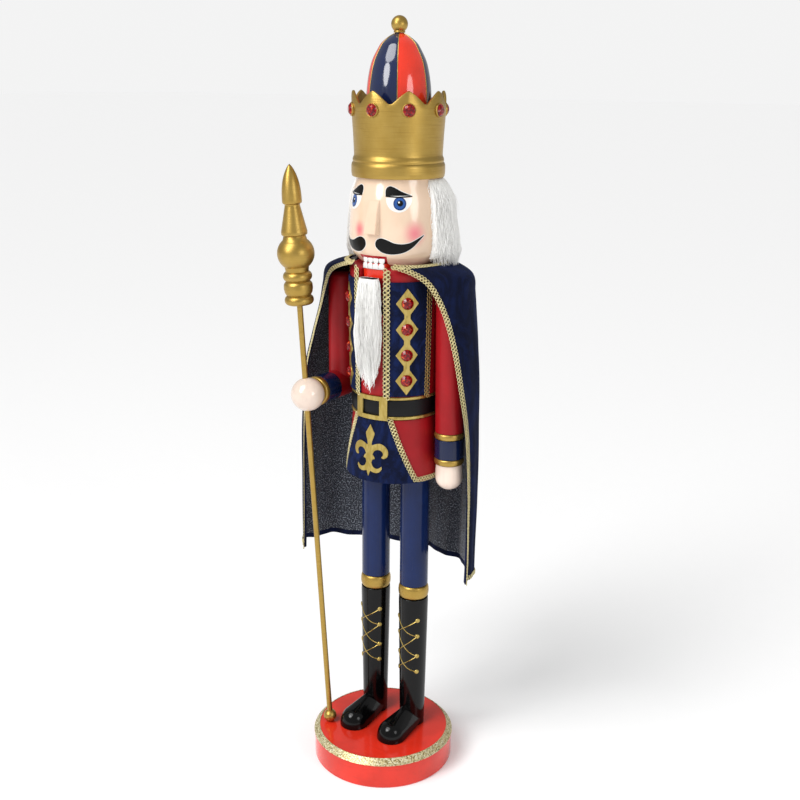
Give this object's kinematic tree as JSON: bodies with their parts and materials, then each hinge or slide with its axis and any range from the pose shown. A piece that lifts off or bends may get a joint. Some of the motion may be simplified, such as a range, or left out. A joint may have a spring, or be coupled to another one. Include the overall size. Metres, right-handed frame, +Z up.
{
  "type": "nutcracker figure",
  "caption": "Standing wooden king nutcracker on a round base, with a spiked crown, cape, tall sceptre and a jaw worked by a lever at the back.",
  "frame": {"origin": "centre of the flat underside of the round base", "axes": "+Z up through the figure, -Y the way the figure faces, +X the figure's left"},
  "size_m": [0.2476, 0.2028, 0.9145],
  "materials": {
    "red_gloss": "gloss red lacquer on wood",
    "crimson_satin": "satin crimson paint on wood",
    "navy_gloss": "gloss dark blue paint on wood",
    "black_gloss": "gloss black lacquer on wood",
    "gold_paint": "satin gold paint on wood",
    "gold_foil": "gold foil trim",
    "glitter": "pale gold glitter",
    "flesh_gloss": "gloss skin-coloured paint on wood",
    "white_fur": "white synthetic fur",
    "navy_velvet": "dark blue velvet",
    "black_vinyl": "black vinyl belt",
    "red_gem": "cut clear red acrylic",
    "bare_wood": "unpainted dowel",
    "steel": "plain steel"
  },
  "bodies": {
    "figure": {"base_disc": "red_gloss", "glitter_band": "glitter", "leg_screw_left": "steel", "leg_screw_right": "steel", "lever_pin": "steel", "boot_shaft_left": "black_gloss", "boot_shaft_right": "black_gloss", "boot_toe_left": "black_gloss", "boot_toe_right": "black_gloss", "boot_ring_left": "gold_paint", "boot_ring_right": "gold_paint", "cuff_ring_upper_left": "gold_paint", "cuff_ring_lower_left": "gold_paint", "cuff_ring_lower_right": "gold_paint", "crown": "gold_paint", "finial_ball": "gold_paint", "trouser_leg_left": "navy_gloss", "trouser_leg_right": "navy_gloss", "cuff_left": "navy_gloss", "cuff_right": "navy_gloss", "crown_cap": "navy_gloss", "coat_skirt": "crimson_satin", "torso": "crimson_satin", "sleeve_left": "crimson_satin", "upper_sleeve_right": "crimson_satin", "forearm_sleeve_right": "crimson_satin", "skirt_panel": "navy_velvet", "vest_panel_left": "navy_velvet", "vest_panel_right": "navy_velvet", "cape": "navy_velvet", "skirt_emblem": "gold_foil", "belt_trim_lower": "gold_foil", "belt_trim_upper": "gold_foil", "belt_buckle": "gold_foil", "diamond_strip_left": "gold_foil", "diamond_strip_right": "gold_foil", "belt": "black_vinyl", "shoulder_dowel_left": "bare_wood", "shoulder_dowel_right": "bare_wood", "head_dowel_left": "bare_wood", "head_dowel_right": "bare_wood", "hand_left": "flesh_gloss", "hand_right": "flesh_gloss", "head": "flesh_gloss", "nose": "flesh_gloss", "hair": "white_fur", "crown_gem_1": "red_gem", "crown_gem_2": "red_gem", "crown_gem_3": "red_gem", "crown_gem_4": "red_gem", "crown_gem_5": "red_gem", "crown_gem_6": "red_gem", "crown_gem_7": "red_gem", "crown_gem_8": "red_gem"},
    "jaw": {"jaw_lever": "red_gloss", "beard": "white_fur"},
    "sceptre": {"sceptre_rod": "gold_paint", "sceptre_head": "gold_paint", "sceptre_foot": "gold_paint"}
  },
  "joints": [
    {"name": "jaw_hinge", "type": "hinge", "parent": "figure", "child": "jaw", "pos_m": [0, 0.0262, 0.612], "axis": [1, 0, 0], "range_deg": [0, 12], "deforming": ["beard"]},
    {"name": "sceptre_slide", "type": "slide", "parent": "figure", "child": "sceptre", "axis": [-0.0442, -0.0362, 0.9984], "range_m": [0, 0.407]}
  ]
}
